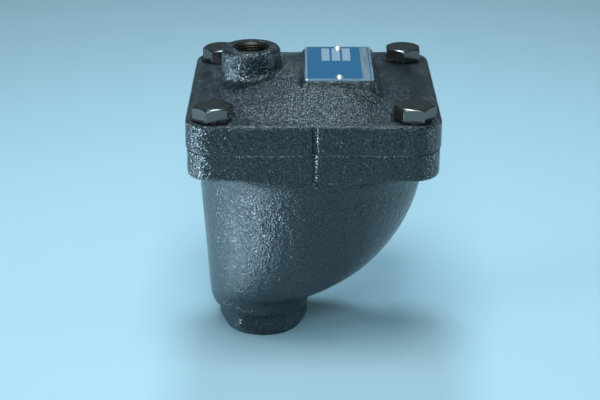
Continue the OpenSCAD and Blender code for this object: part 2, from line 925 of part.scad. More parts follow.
module float_stud() {
    color(STAINLESS)
        on_lever()
            difference() {
                translate([0, 0, -float_drop])
                    rotate([0, 90, 0]) {
                        translate([0, 0, stud_x])
                            cylinder(d = stud_d, h = boss_x - stud_x + clear);
                        translate([0, 0, boss_x])
                            cylinder(r = boss_r, h = boss_l + 2 * clear);
                    }
                translate([float_x, 0, -float_drop])
                    sphere(float_r, $fn = BALL_FN);
            }
}

module float_nut() {
    color(STAINLESS)
        on_lever()
            translate([nut_x, 0, -float_drop])
                rotate([0, 90, 0])
                    difference() {
                        mirror([0, 0, 1])
                            translate([0, 0, -nut_h])
                                hexagon(nut_af, nut_h, bolt_chamfer);
                        translate([0, 0, -clear])
                            cylinder(d = stud_d + 2 * screw_play, h = nut_h + 2 * clear);
                    }
}

module float_washer() {
    color(STAINLESS)
        on_lever()
            translate([float_washer_x, 0, -float_drop])
                rotate([0, 90, 0])
                    spring_washer(stud_d + 2 * pin_play, nut_af);
}

body();
cover();
cover_gasket();
cover_bolts();
nameplate();
nameplate_rivets();
valve_seat();
seat_gasket();
lever_bracket();
bracket_screws();
bracket_washers();
hinge_pin();
hinge_clips();
float_lever();
valve_stem();
valve_disc();
stem_pin();
stem_clips();
float_upper();
float_lower();
float_stud();
float_nut();
float_washer();
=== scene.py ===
"""Looks of an air release valve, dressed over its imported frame.

The body and the cover get a sand-cast skin under black enamel. The bolts, the pipe threads and the
plate get their fine shape here, and the float gear inside keeps the shape it has.
Lengths are millimetres unless a name says metres; the frame itself is in metres.
"""

import json
import logging
import math
from abc import ABC, abstractmethod
from dataclasses import dataclass, field
from enum import Enum
from typing import Any

import bmesh
import bpy
import numpy as np
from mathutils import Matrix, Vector, noise


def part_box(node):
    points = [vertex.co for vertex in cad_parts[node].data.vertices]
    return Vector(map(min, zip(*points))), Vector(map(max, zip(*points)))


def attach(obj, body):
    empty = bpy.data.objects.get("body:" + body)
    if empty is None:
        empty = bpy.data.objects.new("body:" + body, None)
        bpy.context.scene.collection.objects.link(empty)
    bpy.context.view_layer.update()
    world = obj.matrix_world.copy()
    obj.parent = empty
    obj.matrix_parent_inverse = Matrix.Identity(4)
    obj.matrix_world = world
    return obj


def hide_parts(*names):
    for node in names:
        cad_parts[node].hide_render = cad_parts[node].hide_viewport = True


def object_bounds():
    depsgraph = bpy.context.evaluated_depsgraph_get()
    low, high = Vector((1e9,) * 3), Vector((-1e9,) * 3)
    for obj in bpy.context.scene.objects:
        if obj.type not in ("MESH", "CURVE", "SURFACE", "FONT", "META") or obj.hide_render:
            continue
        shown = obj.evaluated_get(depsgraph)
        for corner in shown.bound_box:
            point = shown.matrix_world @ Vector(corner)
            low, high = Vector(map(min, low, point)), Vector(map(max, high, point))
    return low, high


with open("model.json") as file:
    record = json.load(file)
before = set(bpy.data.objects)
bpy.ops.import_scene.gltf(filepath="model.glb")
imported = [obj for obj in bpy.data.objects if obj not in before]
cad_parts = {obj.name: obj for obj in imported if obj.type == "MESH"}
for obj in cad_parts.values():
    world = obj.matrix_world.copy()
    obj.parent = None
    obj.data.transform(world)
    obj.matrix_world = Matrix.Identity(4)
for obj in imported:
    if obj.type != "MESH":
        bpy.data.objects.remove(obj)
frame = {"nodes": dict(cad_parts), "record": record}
CAD_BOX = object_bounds()

MM = 0.001
CASING = "casing"
# Distance of the bolt axes from the edges of the cover
BOLT_EDGE = 13.8
# Least radius to divide by when a bore is widened
NEAR_AXIS = 1.0
# Socket numbers of a colour mix node
MIX_SHARE, MIX_FIRST, MIX_SECOND, MIX_OUT = 0, 6, 7, 2
# The stretch that most values of a noise pattern lie in
NOISE_LOW, NOISE_HIGH = 0.3, 0.7
LOG = logging.getLogger("valve")


def linear(hex_code: str) -> tuple[float, float, float, float]:
    """Turn an sRGB colour into the linear one that shaders use.

    Args:
        hex_code: Colour as #rrggbb.

    Returns:
        Linear red, green and blue, and a full alpha.
    """
    parts = [int(hex_code[i:i + 2], 16) / 255 for i in (1, 3, 5)]
    red, green, blue = (c / 12.92 if c <= 0.04045 else ((c + 0.055) / 1.055) ** 2.4 for c in parts)
    return red, green, blue, 1.0


def add_node(tree: bpy.types.NodeTree, kind: str, settings: dict[str, Any],
             inputs: dict[Any, Any]) -> bpy.types.Node:
    """Add one shader node with its settings, values and links.

    Args:
        tree: Node tree that takes the node.
        kind: Blender's name of the node type.
        settings: Properties of the node and their values.
        inputs: Socket names or numbers, each with a value or the socket to link from.

    Returns:
        The new node.
    """
    node = tree.nodes.new(kind)
    for name, value in settings.items():
        setattr(node, name, value)
    for key, value in inputs.items():
        if isinstance(value, bpy.types.NodeSocket):
            tree.links.new(value, node.inputs[key])
        else:
            node.inputs[key].default_value = value
    return node


def set_tone(tree: bpy.types.NodeTree, shader: bpy.types.Node, share: bpy.types.NodeSocket,
             first: str, second: str) -> None:
    """Mix two colours into the base colour of a shader.

    Args:
        tree: Node tree of the material.
        shader: Its principled shader.
        share: Socket that says how much of the second colour shows.
        first: First colour, as #rrggbb.
        second: Second colour, as #rrggbb.
    """
    mix = add_node(tree, "ShaderNodeMix", {"data_type": "RGBA"}, {
        MIX_SHARE: share, MIX_FIRST: linear(first), MIX_SECOND: linear(second)})
    tree.links.new(mix.outputs[MIX_OUT], shader.inputs["Base Color"])


def set_gloss(tree: bpy.types.NodeTree, shader: bpy.types.Node, pattern: bpy.types.NodeSocket,
              low: float, high: float) -> None:
    """Let the roughness of a shader follow a noise pattern.

    Args:
        tree: Node tree of the material.
        shader: Its principled shader.
        pattern: Socket of the noise pattern.
        low: Roughness where the pattern is low.
        high: Roughness where the pattern is high.
    """
    gloss = add_node(tree, "ShaderNodeMapRange", {}, {
        "Value": pattern, "From Min": NOISE_LOW, "From Max": NOISE_HIGH,
        "To Min": low, "To Max": high})
    tree.links.new(gloss.outputs["Result"], shader.inputs["Roughness"])


def mount_row(name: str) -> dict[str, Any]:
    """Return the record's row of one mount."""
    return next(row for row in frame["record"]["mounts"] if row["name"] == name)


def node_box(node: str) -> tuple[np.ndarray, np.ndarray]:
    """Return the lowest and highest corner of a CAD node, in millimetres."""
    low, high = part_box(node)
    return np.array(low) / MM, np.array(high) / MM


def bolt_places() -> np.ndarray:
    """Return the X and Y of the four bolt axes.

    Returns:
        One row for each bolt: front left, front right, back left, back right.
    """
    low, high = node_box("cover")
    return np.array([(x, y) for y in (low[1] + BOLT_EDGE, high[1] - BOLT_EDGE)
                     for x in (low[0] + BOLT_EDGE, high[0] - BOLT_EDGE)])


def per_metre(size_mm: float) -> float:
    """Return the pattern scale that repeats once in a length of millimetres."""
    return 1.0 / (size_mm * MM)


class Finish(ABC):
    """A material and the way its surface was made."""

    name: str

    @abstractmethod
    def shade(self, tree: bpy.types.NodeTree, shader: bpy.types.Node) -> None:
        """Fill the shader of this finish.

        Args:
            tree: Node tree of the material.
            shader: Its principled shader.
        """

    def material(self) -> bpy.types.Material:
        """Return the material of this finish, made once.

        Returns:
            The material.
        """
        found = bpy.data.materials.get(self.name)
        if found is None:
            found = bpy.data.materials.new(self.name)
            found.use_nodes = True
            self.shade(found.node_tree, found.node_tree.nodes["Principled BSDF"])
        return found


@dataclass(frozen=True)
class CastEnamel(Finish):
    """Black gloss enamel brushed over a sand-cast iron skin."""

    # The enamel pools between the sand grains, so each highlight breaks into sparks, a little
    # calmer where a cutter has faced the iron first. Real grains are 0.5 mm apart, drawn at 1 mm
    # to show.
    name: str = "enamel_black_brushed_on_sand_cast_iron"
    dark: str = "#0a0f11"
    pale: str = "#222e33"
    ior: float = 1.55
    roughness_low: float = 0.1
    roughness_high: float = 0.16
    grain_mm: float = 1.0
    grain_height_mm: float = 0.72
    wrinkle_mm: float = 3.0
    wrinkle_height_mm: float = 0.4
    patch_mm: float = 14.0
    detail: float = 1.0
    crest_low: float = 0.35
    crest_high: float = 0.65

    def shade(self, tree: bpy.types.NodeTree, shader: bpy.types.Node) -> None:
        """Mix the enamel's two blacks, and raise the sand grain where the skin is as cast.

        Args:
            tree: Node tree of the material.
            shader: Its principled shader.
        """
        where = add_node(tree, "ShaderNodeTexCoord", {}, {}).outputs["Object"]
        cast = add_node(tree, "ShaderNodeAttribute", {"attribute_name": "cast"}, {}).outputs["Fac"]
        patch = add_node(tree, "ShaderNodeTexNoise", {}, {
            "Vector": where, "Scale": per_metre(self.patch_mm),
            "Detail": self.detail}).outputs["Fac"]
        grain = add_node(tree, "ShaderNodeTexNoise", {}, {
            "Vector": where, "Scale": per_metre(self.grain_mm),
            "Detail": self.detail}).outputs["Fac"]
        crest = add_node(tree, "ShaderNodeMapRange", {}, {
            "Value": grain, "From Min": self.crest_low,
            "From Max": self.crest_high}).outputs["Result"]
        set_tone(tree, shader, crest, self.dark, self.pale)
        set_gloss(tree, shader, patch, self.roughness_low, self.roughness_high)
        shader.inputs["IOR"].default_value = self.ior
        wrinkle = add_node(tree, "ShaderNodeTexNoise", {}, {
            "Vector": where, "Scale": per_metre(self.wrinkle_mm),
            "Detail": self.detail}).outputs["Fac"]
        low = add_node(tree, "ShaderNodeBump", {}, {
            "Height": wrinkle, "Strength": cast,
            "Distance": self.wrinkle_height_mm * MM}).outputs["Normal"]
        high = add_node(tree, "ShaderNodeBump", {}, {
            "Height": grain, "Strength": cast,
            "Distance": self.grain_height_mm * MM, "Normal": low}).outputs["Normal"]
        tree.links.new(high, shader.inputs["Normal"])


@dataclass(frozen=True)
class WornMetal(Finish):
    """A bare or blackened metal with fine marks from how it was made."""

    # A metal shows its colour only in what it mirrors; the marks scatter that into soft streaks.
    name: str
    tone: str
    mark_tone: str
    roughness_low: float
    roughness_high: float
    mark_mm: tuple[float, float, float]
    mark_height_mm: float
    mark_detail: float = 3.0
    mark_breakup: float = 0.6
    mark_strength: float = 0.6

    def shade(self, tree: bpy.types.NodeTree, shader: bpy.types.Node) -> None:
        """Mix the metal's two tones along its marks.

        Args:
            tree: Node tree of the material.
            shader: Its principled shader.
        """
        where = add_node(tree, "ShaderNodeTexCoord", {}, {}).outputs["Object"]
        scaled = add_node(tree, "ShaderNodeMapping", {}, {
            "Vector": where,
            "Scale": tuple(per_metre(size) for size in self.mark_mm)}).outputs["Vector"]
        marks = add_node(tree, "ShaderNodeTexNoise", {}, {
            "Vector": scaled, "Scale": 1.0, "Detail": self.mark_detail,
            "Roughness": self.mark_breakup}).outputs["Fac"]
        set_tone(tree, shader, marks, self.tone, self.mark_tone)
        shader.inputs["Metallic"].default_value = 1.0
        set_gloss(tree, shader, marks, self.roughness_low, self.roughness_high)
        bump = add_node(tree, "ShaderNodeBump", {}, {
            "Height": marks, "Strength": self.mark_strength,
            "Distance": self.mark_height_mm * MM}).outputs["Normal"]
        tree.links.new(bump, shader.inputs["Normal"])


@dataclass(frozen=True)
class CoatedSheet(Finish):
    """A lacquer, a rubber or a fibre sheet: no metal, with a fine even grain."""

    # Its own colour shows from every side, under a thin gloss that the grain breaks up.
    name: str
    tone: str
    grain_tone: str
    ior: float
    roughness_low: float
    roughness_high: float
    grain_mm: float
    grain_height_mm: float
    grain_detail: float = 3.0
    grain_strength: float = 0.5

    def shade(self, tree: bpy.types.NodeTree, shader: bpy.types.Node) -> None:
        """Mix the sheet's two tones and raise its grain.

        Args:
            tree: Node tree of the material.
            shader: Its principled shader.
        """
        where = add_node(tree, "ShaderNodeTexCoord", {}, {}).outputs["Object"]
        grain = add_node(tree, "ShaderNodeTexNoise", {}, {
            "Vector": where, "Scale": per_metre(self.grain_mm),
            "Detail": self.grain_detail}).outputs["Fac"]
        set_tone(tree, shader, grain, self.tone, self.grain_tone)
        set_gloss(tree, shader, grain, self.roughness_low, self.roughness_high)
        shader.inputs["IOR"].default_value = self.ior
        bump = add_node(tree, "ShaderNodeBump", {}, {
            "Height": grain, "Strength": self.grain_strength,
            "Distance": self.grain_height_mm * MM}).outputs["Normal"]
        tree.links.new(bump, shader.inputs["Normal"])


ENAMEL = CastEnamel()
# Black oxide on forged steel: a dull grey mirror, a little lighter where the die has rubbed.
BLACK_STEEL = WornMetal(
    name="steel_forged_black_oxide", tone="#6e6a68", mark_tone="#787471",
    roughness_low=0.16, roughness_high=0.22, mark_mm=(1.6, 1.6, 1.6), mark_height_mm=0.02)
# Thread cut in bare iron and oiled: crests catch the light, roots stay dark.
CUT_IRON = WornMetal(
    name="iron_bare_thread_cut", tone="#35332f", mark_tone="#4c4a45",
    roughness_low=0.38, roughness_high=0.55, mark_mm=(0.8, 0.8, 0.3), mark_height_mm=0.02)
# Rolled aluminium sheet: fine lines along the roll, which stretch each highlight across them.
# Real lines are 0.05 mm apart, drawn at 0.5 mm to show.
BARE_ALUMINIUM = WornMetal(
    name="aluminium_rolled_bare", tone="#bac8d6", mark_tone="#cdd8e4",
    roughness_low=0.26, roughness_high=0.4, mark_mm=(0.5, 12.0, 0.5), mark_height_mm=0.01)
# Drawn aluminium rivet, its polish dulled by the setting tool: still the brightest point on the
# cover.
RIVET_ALUMINIUM = WornMetal(
    name="aluminium_drawn_polished", tone="#f1efe4", mark_tone="#f8f7f0",
    roughness_low=0.4, roughness_high=0.5, mark_mm=(1.2, 1.2, 1.2), mark_height_mm=0.01)
# Pressed and turned stainless steel: a grey satin with short scratches.
# Real scratches are 0.1 mm wide, drawn at 0.6 mm to show.
STAINLESS = WornMetal(
    name="stainless_steel_satin_pressed", tone="#a8abaf", mark_tone="#c2c5c8",
    roughness_low=0.24, roughness_high=0.38, mark_mm=(3.0, 0.6, 0.6), mark_height_mm=0.015)
# Turned brass: warm, with rings from the tool. Real rings are 0.1 mm apart, drawn at 0.6 mm to
# show.
TURNED_BRASS = WornMetal(
    name="brass_turned", tone="#b8924f", mark_tone="#d0ac68",
    roughness_low=0.2, roughness_high=0.34, mark_mm=(6.0, 6.0, 0.6), mark_height_mm=0.015)
# Blue lacquer printed through a screen on the sheet: an even colour with a soft sheen.
BLUE_LACQUER = CoatedSheet(
    name="lacquer_blue_screen_printed", tone="#1f5b80", grain_tone="#27668c", ior=1.5,
    roughness_low=0.16, roughness_high=0.22, grain_mm=1.0, grain_height_mm=0.01)
# Pale lacquer printed through a screen: the blank fields that a fitter would write in.
PALE_LACQUER = CoatedSheet(
    name="lacquer_pale_screen_printed", tone="#8a9aad", grain_tone="#98a7b8", ior=1.5,
    roughness_low=0.2, roughness_high=0.28, grain_mm=1.0, grain_height_mm=0.01)
# Moulded nitrile rubber: black and dull.
RUBBER = CoatedSheet(
    name="rubber_nitrile_moulded", tone="#161617", grain_tone="#202022", ior=1.52,
    roughness_low=0.55, roughness_high=0.7, grain_mm=0.8, grain_height_mm=0.02)
# Fibre sheet pressed with graphite: nearly black, with short fibres on the cut edge.
FIBRE_SHEET = CoatedSheet(
    name="fibre_sheet_graphite_pressed", tone="#222a2e", grain_tone="#2e373b", ior=1.45,
    roughness_low=0.4, roughness_high=0.5, grain_mm=0.7, grain_height_mm=0.05)


def shell_piece(name: str, points: np.ndarray, faces: list[tuple[int, ...]]) -> bpy.types.Object:
    """Make a closed piece that rides on the casing.

    Args:
        name: Name of the piece.
        points: Corner points, in millimetres.
        faces: Corner numbers of each face.

    Returns:
        The new object.
    """
    mesh = bpy.data.meshes.new(name)
    mesh.from_pydata((points * MM).tolist(), [], faces)
    work = bmesh.new()
    work.from_mesh(mesh)
    bmesh.ops.recalc_face_normals(work, faces=work.faces[:])
    work.to_mesh(mesh)
    work.free()
    mesh.shade_smooth()
    piece = bpy.data.objects.new(name, mesh)
    bpy.context.scene.collection.objects.link(piece)
    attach(piece, CASING)
    return piece


def ring_faces(rows: int, cols: int, start: int, closed: bool) -> list[tuple[int, ...]]:
    """List the faces of a stack of rings.

    Args:
        rows: Number of rings.
        cols: Points in each ring.
        start: Number of the first point.
        closed: True if the last ring joins the first, False if flat caps close the two ends.

    Returns:
        Corner numbers of each face.
    """
    faces: list[tuple[int, ...]] = []
    for r in range(rows if closed else rows - 1):
        low, high = start + r * cols, start + (r + 1) % rows * cols
        for c in range(cols):
            n = (c + 1) % cols
            faces.append((low + c, low + n, high + n, high + c))
    if not closed:
        last = start + (rows - 1) * cols
        faces.append(tuple(range(start, start + cols)))
        faces.append(tuple(range(last, last + cols)))
    return faces


@dataclass
class Casting(ABC):
    """One casting: a fine even skin over its CAD node, with cast fillets and a sand texture."""

    node: str
    piece_name: str
    slot: str = "painted_iron"
    finish: Finish = ENAMEL
    voxel: float = 0.7
    relax_rounds: int = 3
    fillet_rounds: int = 120
    convex_share: float = 0.04
    lump_size: float = 9.0
    lump_height: float = 0.1
    dimple_size: float = 3.2
    dimple_height: float = 0.06
    groove_half: float = 2.4
    groove_from_centre: float = 0.5
    machined_depth: float = 0.5
    machined_grain: float = 0.7
    weld: float = 0.001
    step_share: float = 0.5
    normals_every: int = 5
    dimple_shift: tuple[float, float, float] = (7.0, 3.0, 5.0)
    piece: bpy.types.Object | None = None

    @abstractmethod
    def machined(self, points: np.ndarray) -> np.ndarray:
        """Say which points lie on faces that a cutter made.

        Args:
            points: Points of the skin.

        Returns:
            True for each point on a machined face.
        """

    @abstractmethod
    def settle(self, points: np.ndarray) -> np.ndarray:
        """Put machined faces back on their planes after the smoothing.

        Args:
            points: Points of the skin.

        Returns:
            The corrected points.
        """

    def in_groove(self, points: np.ndarray) -> np.ndarray:
        """Say which points lie in the match groove on the front.

        Args:
            points: Points of the skin.

        Returns:
            True for each point in the groove.
        """
        front = node_box(self.node)[0][1]
        low, high = node_box("cover")
        centre = (low[0] + high[0]) / 2 + self.groove_from_centre
        across = np.abs(points[:, 0] - centre) < self.groove_half
        return across & (points[:, 1] < front + self.groove_half)

    def remeshed(self) -> bpy.types.Mesh:
        """Return an even quad skin over the CAD node.

        Returns:
            The new mesh, in the row frame.
        """
        mesh = frame["nodes"][self.node].data.copy()
        work = bmesh.new()
        work.from_mesh(mesh)
        bmesh.ops.remove_doubles(work, verts=work.verts[:], dist=self.weld * MM)
        work.to_mesh(mesh)
        work.free()
        lump = bpy.data.objects.new(self.piece_name + "_solid", mesh)
        bpy.context.scene.collection.objects.link(lump)
        skin = lump.modifiers.new("skin", "REMESH")
        skin.mode = "VOXEL"
        skin.voxel_size = self.voxel * MM
        graph = bpy.context.evaluated_depsgraph_get()
        even = bpy.data.meshes.new_from_object(lump.evaluated_get(graph))
        bpy.data.objects.remove(lump)
        return even

    def normals(self, mesh: bpy.types.Mesh, points: np.ndarray) -> np.ndarray:
        """Move the points of the skin and return its new normals.

        Args:
            mesh: The skin.
            points: Its new points, in millimetres.

        Returns:
            One unit normal for each point.
        """
        mesh.vertices.foreach_set("co", (points * MM).ravel())
        mesh.update()
        out = np.empty(len(points) * 3)
        mesh.vertex_normals.foreach_get("vector", out)
        return out.reshape(-1, 3)

    def smoothed(self, mesh: bpy.types.Mesh, points: np.ndarray) -> np.ndarray:
        """Take off the voxel steps, then fill inner corners to cast fillets.

        Args:
            mesh: The skin.
            points: Its points.

        Returns:
            The smoothed points.
        """
        ends = np.empty(len(mesh.edges) * 2, dtype=np.int64)
        mesh.edges.foreach_get("vertices", ends)
        a, b = ends.reshape(-1, 2).T
        count = np.bincount(np.concatenate([a, b]), minlength=len(points))[:, None]
        free = (~(self.machined(points) | self.in_groove(points))).astype(float)[:, None]
        normal = self.normals(mesh, points)
        for step in range(self.relax_rounds + self.fillet_rounds):
            total = np.stack([np.bincount(a, points[b, k], len(points))
                              + np.bincount(b, points[a, k], len(points))
                              for k in range(3)], axis=1)
            pull = total / count - points
            if step < self.relax_rounds:
                points = points + self.step_share * free * pull
                continue
            if step % self.normals_every == 0:
                normal = self.normals(mesh, points)
            inner = (pull * normal).sum(axis=1, keepdims=True) > 0
            share = np.where(inner, 1.0, self.convex_share)
            points = points + self.step_share * free * share * pull
        return points

    def build(self) -> None:
        """Make the skin, with the sand's lumps and dimples, in place of the CAD node."""
        mesh = self.remeshed()
        mesh.name = self.piece_name
        points = np.empty(len(mesh.vertices) * 3)
        mesh.vertices.foreach_get("co", points)
        points = self.smoothed(mesh, points.reshape(-1, 3) / MM)
        flat = self.machined(points)
        normal = self.normals(mesh, points)
        lump = np.array([noise.noise(Vector(p)) for p in points / self.lump_size])
        shift = Vector(self.dimple_shift)
        dimple = np.array([noise.noise(Vector(p) + shift) for p in points / self.dimple_size])
        rise = np.where(flat, 0.0, lump * self.lump_height + dimple * self.dimple_height)
        points = self.settle(points + rise[:, None] * normal)
        self.normals(mesh, points)
        cast = mesh.attributes.new("cast", "FLOAT", "POINT")
        cast.data.foreach_set("value", np.where(flat, self.machined_grain, 1.0))
        mesh.shade_smooth()
        self.piece = bpy.data.objects.new(self.piece_name, mesh)
        bpy.context.scene.collection.objects.link(self.piece)
        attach(self.piece, CASING)
        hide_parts(self.node)
        LOG.info("%s: %d faces", self.piece_name, len(mesh.polygons))

    def dress(self) -> None:
        """Give the skin its enamel."""
        self.piece.data.materials.clear()
        self.piece.data.materials.append(self.finish.material())


@dataclass
class BodyCasting(Casting):
    """The bowl with its flange and inlet neck."""

    node: str = "body"
    piece_name: str = "cast_body"
    mouth_widening: float = 0.4
    bore_end: float = 1.0

    def machined(self, points: np.ndarray) -> np.ndarray:
        """Say which points lie on the gasket face, the inlet mouth or the inlet bore.

        Args:
            points: Points of the skin.

        Returns:
            True for each point on a machined face.
        """
        low, high = node_box(self.node)
        bore = mount_row("inlet")["dims"]
        across = np.hypot(points[:, 0], points[:, 1])
        in_bore = (across < bore["r_mm"] + self.machined_depth) & (points[:, 2] < bore["length_mm"])
        on_top = points[:, 2] > high[2] - self.machined_depth
        return on_top | (points[:, 2] < low[2] + self.machined_depth) | in_bore

    def settle(self, points: np.ndarray) -> np.ndarray:
        """Level the gasket face and the mouth, and clear the bore for its thread.

        Args:
            points: Points of the skin.

        Returns:
            The corrected points.
        """
        low, high = node_box(self.node)
        bore = mount_row("inlet")["dims"]
        points = points.copy()
        points[:, 2] = np.where(points[:, 2] > high[2] - self.machined_depth, high[2], points[:, 2])
        points[:, 2] = np.where(points[:, 2] < low[2] + self.machined_depth, low[2], points[:, 2])
        across = np.hypot(points[:, 0], points[:, 1])
        in_bore = across < bore["r_mm"] + self.machined_depth
        in_bore &= points[:, 2] < bore["length_mm"] - self.bore_end
        mouth_r = bore["r_mm"] + self.mouth_widening
        wider = np.where(in_bore, mouth_r / np.maximum(across, NEAR_AXIS), 1.0)
        points[:, :2] *= wider[:, None]
        return points


@dataclass
class CoverCasting(Casting):
    """The square cover with its dome, plate pad and outlet boss."""

    node: str = "cover"
    piece_name: str = "cast_cover"
    voxel: float = 0.6
    fillet_rounds: int = 40
    spot_r: float = 11.5
    spot_depth: float = 0.6
    flange_t: float = 14.4
    mech_drop: float = 1.8
    rim_r: float = 14.0
    mouth_widening: float = 0.5
    bore_margin: float = 1.0
    bore_skin: float = 0.5
    spot_margin: float = 0.4
    spot_reach: float = 2.0
    spot_inset: float = 0.2
    spot_band: float = 0.4

    def bolt_distance(self, points: np.ndarray) -> np.ndarray:
        """Return each point's distance from the nearest bolt axis.

        Args:
            points: Points of the skin.

        Returns:
            Distances in millimetres.
        """
        away = [np.hypot(points[:, 0] - x, points[:, 1] - y) for x, y in bolt_places()]
        return np.min(away, axis=0)

    def flange_top(self) -> float:
        """Return the height of the flange's top face."""
        return node_box(self.node)[0][2] + self.mech_drop + self.flange_t

    def outlet_distance(self, points: np.ndarray) -> np.ndarray:
        """Return each point's distance from the outlet axis."""
        return np.hypot(points[:, 0] - mount_row("outlet")["pos_m"][0] / MM, points[:, 1])

    def machined(self, points: np.ndarray) -> np.ndarray:
        """Say which points lie on the rim, the spot faces, the bores or the gasket face.

        Args:
            points: Points of the skin.

        Returns:
            True for each point on a machined face.
        """
        high = node_box(self.node)[1]
        top = self.flange_top()
        across = self.outlet_distance(points)
        bore_r = mount_row("outlet")["dims"]["r_mm"]
        rim = (across < self.rim_r) & (points[:, 2] > high[2] - self.machined_depth)
        bore = (across < bore_r + self.bore_margin) & (points[:, 2] > top)
        spots = self.bolt_distance(points) < self.spot_r + self.spot_margin
        spots &= points[:, 2] > top - self.spot_reach
        under = points[:, 2] < top - self.flange_t + self.machined_depth
        return rim | bore | spots | under

    def settle(self, points: np.ndarray) -> np.ndarray:
        """Level the rim and the spot faces, and clear the outlet for its thread.

        Args:
            points: Points of the skin.

        Returns:
            The corrected points.
        """
        points = points.copy()
        high = node_box(self.node)[1]
        top = self.flange_top()
        across = self.outlet_distance(points)
        rim = (across < self.rim_r) & (points[:, 2] > high[2] - self.machined_depth)
        points[:, 2] = np.where(rim, high[2], points[:, 2])
        seat = top - self.spot_depth
        spot = self.bolt_distance(points) < self.spot_r - self.spot_inset
        spot &= np.abs(points[:, 2] - seat) < self.spot_band
        points[:, 2] = np.where(spot, seat, points[:, 2])
        bore = mount_row("outlet")["dims"]
        in_bore = across < bore["r_mm"] + self.bore_skin
        in_bore &= points[:, 2] > high[2] - bore["length_mm"]
        mouth_r = bore["r_mm"] + self.mouth_widening
        wider = np.where(in_bore, mouth_r / np.maximum(across, NEAR_AXIS), 1.0)
        axis_x = mount_row("outlet")["pos_m"][0] / MM
        points[:, 0] = axis_x + (points[:, 0] - axis_x) * wider
        points[:, 1] *= wider
        return points


@dataclass
class PipeThread:
    """The cut thread that lines a pipe mouth."""

    mount: str
    pitch: float
    ridge: float
    chamfer: float
    mouth_step: float
    inset: float = 0.2
    wall: float = 0.5
    cols: int = 96
    rows_per_turn: int = 10
    sharp_angle: float = math.radians(60)
    slot: str = "painted_iron"
    finish: Finish = CUT_IRON
    piece: bpy.types.Object | None = None

    def build(self) -> None:
        """Make the lining: a helical thread inside, with a chamfer at the mouth."""
        row = mount_row(self.mount)
        x, y, z = np.array(row["pos_m"]) / MM
        out = row["axis"][2]
        major = row["dims"]["r_mm"] - self.inset
        depth = row["dims"]["length_mm"] + self.mouth_step
        drop = np.arange(0.0, depth, self.pitch / self.rows_per_turn)
        turn = np.linspace(0.0, 2 * math.pi, self.cols, endpoint=False)
        phase = 2 * math.pi * drop[:, None] / self.pitch - out * turn[None, :]
        radius = major - self.ridge * (1 - np.cos(phase)) / 2
        radius = np.maximum(radius, major + self.chamfer - drop[:, None])
        outer = major + self.chamfer + self.wall
        radius = np.vstack([radius, np.full((2, self.cols), outer)])
        drop = np.concatenate([drop, [drop[-1], 0.0]])
        high = z + out * (self.mouth_step - drop)
        points = np.stack([x + radius * np.cos(turn), y + radius * np.sin(turn),
                           np.broadcast_to(high[:, None], radius.shape)], axis=2).reshape(-1, 3)
        name = self.mount + "_thread"
        self.piece = shell_piece(name, points, ring_faces(len(drop), self.cols, 0, True))
        self.piece.data.set_sharp_from_angle(angle=self.sharp_angle)
        LOG.info("%s: %d faces", name, len(self.piece.data.polygons))

    def dress(self) -> None:
        """Give the thread its bare iron."""
        self.piece.data.materials.append(self.finish.material())


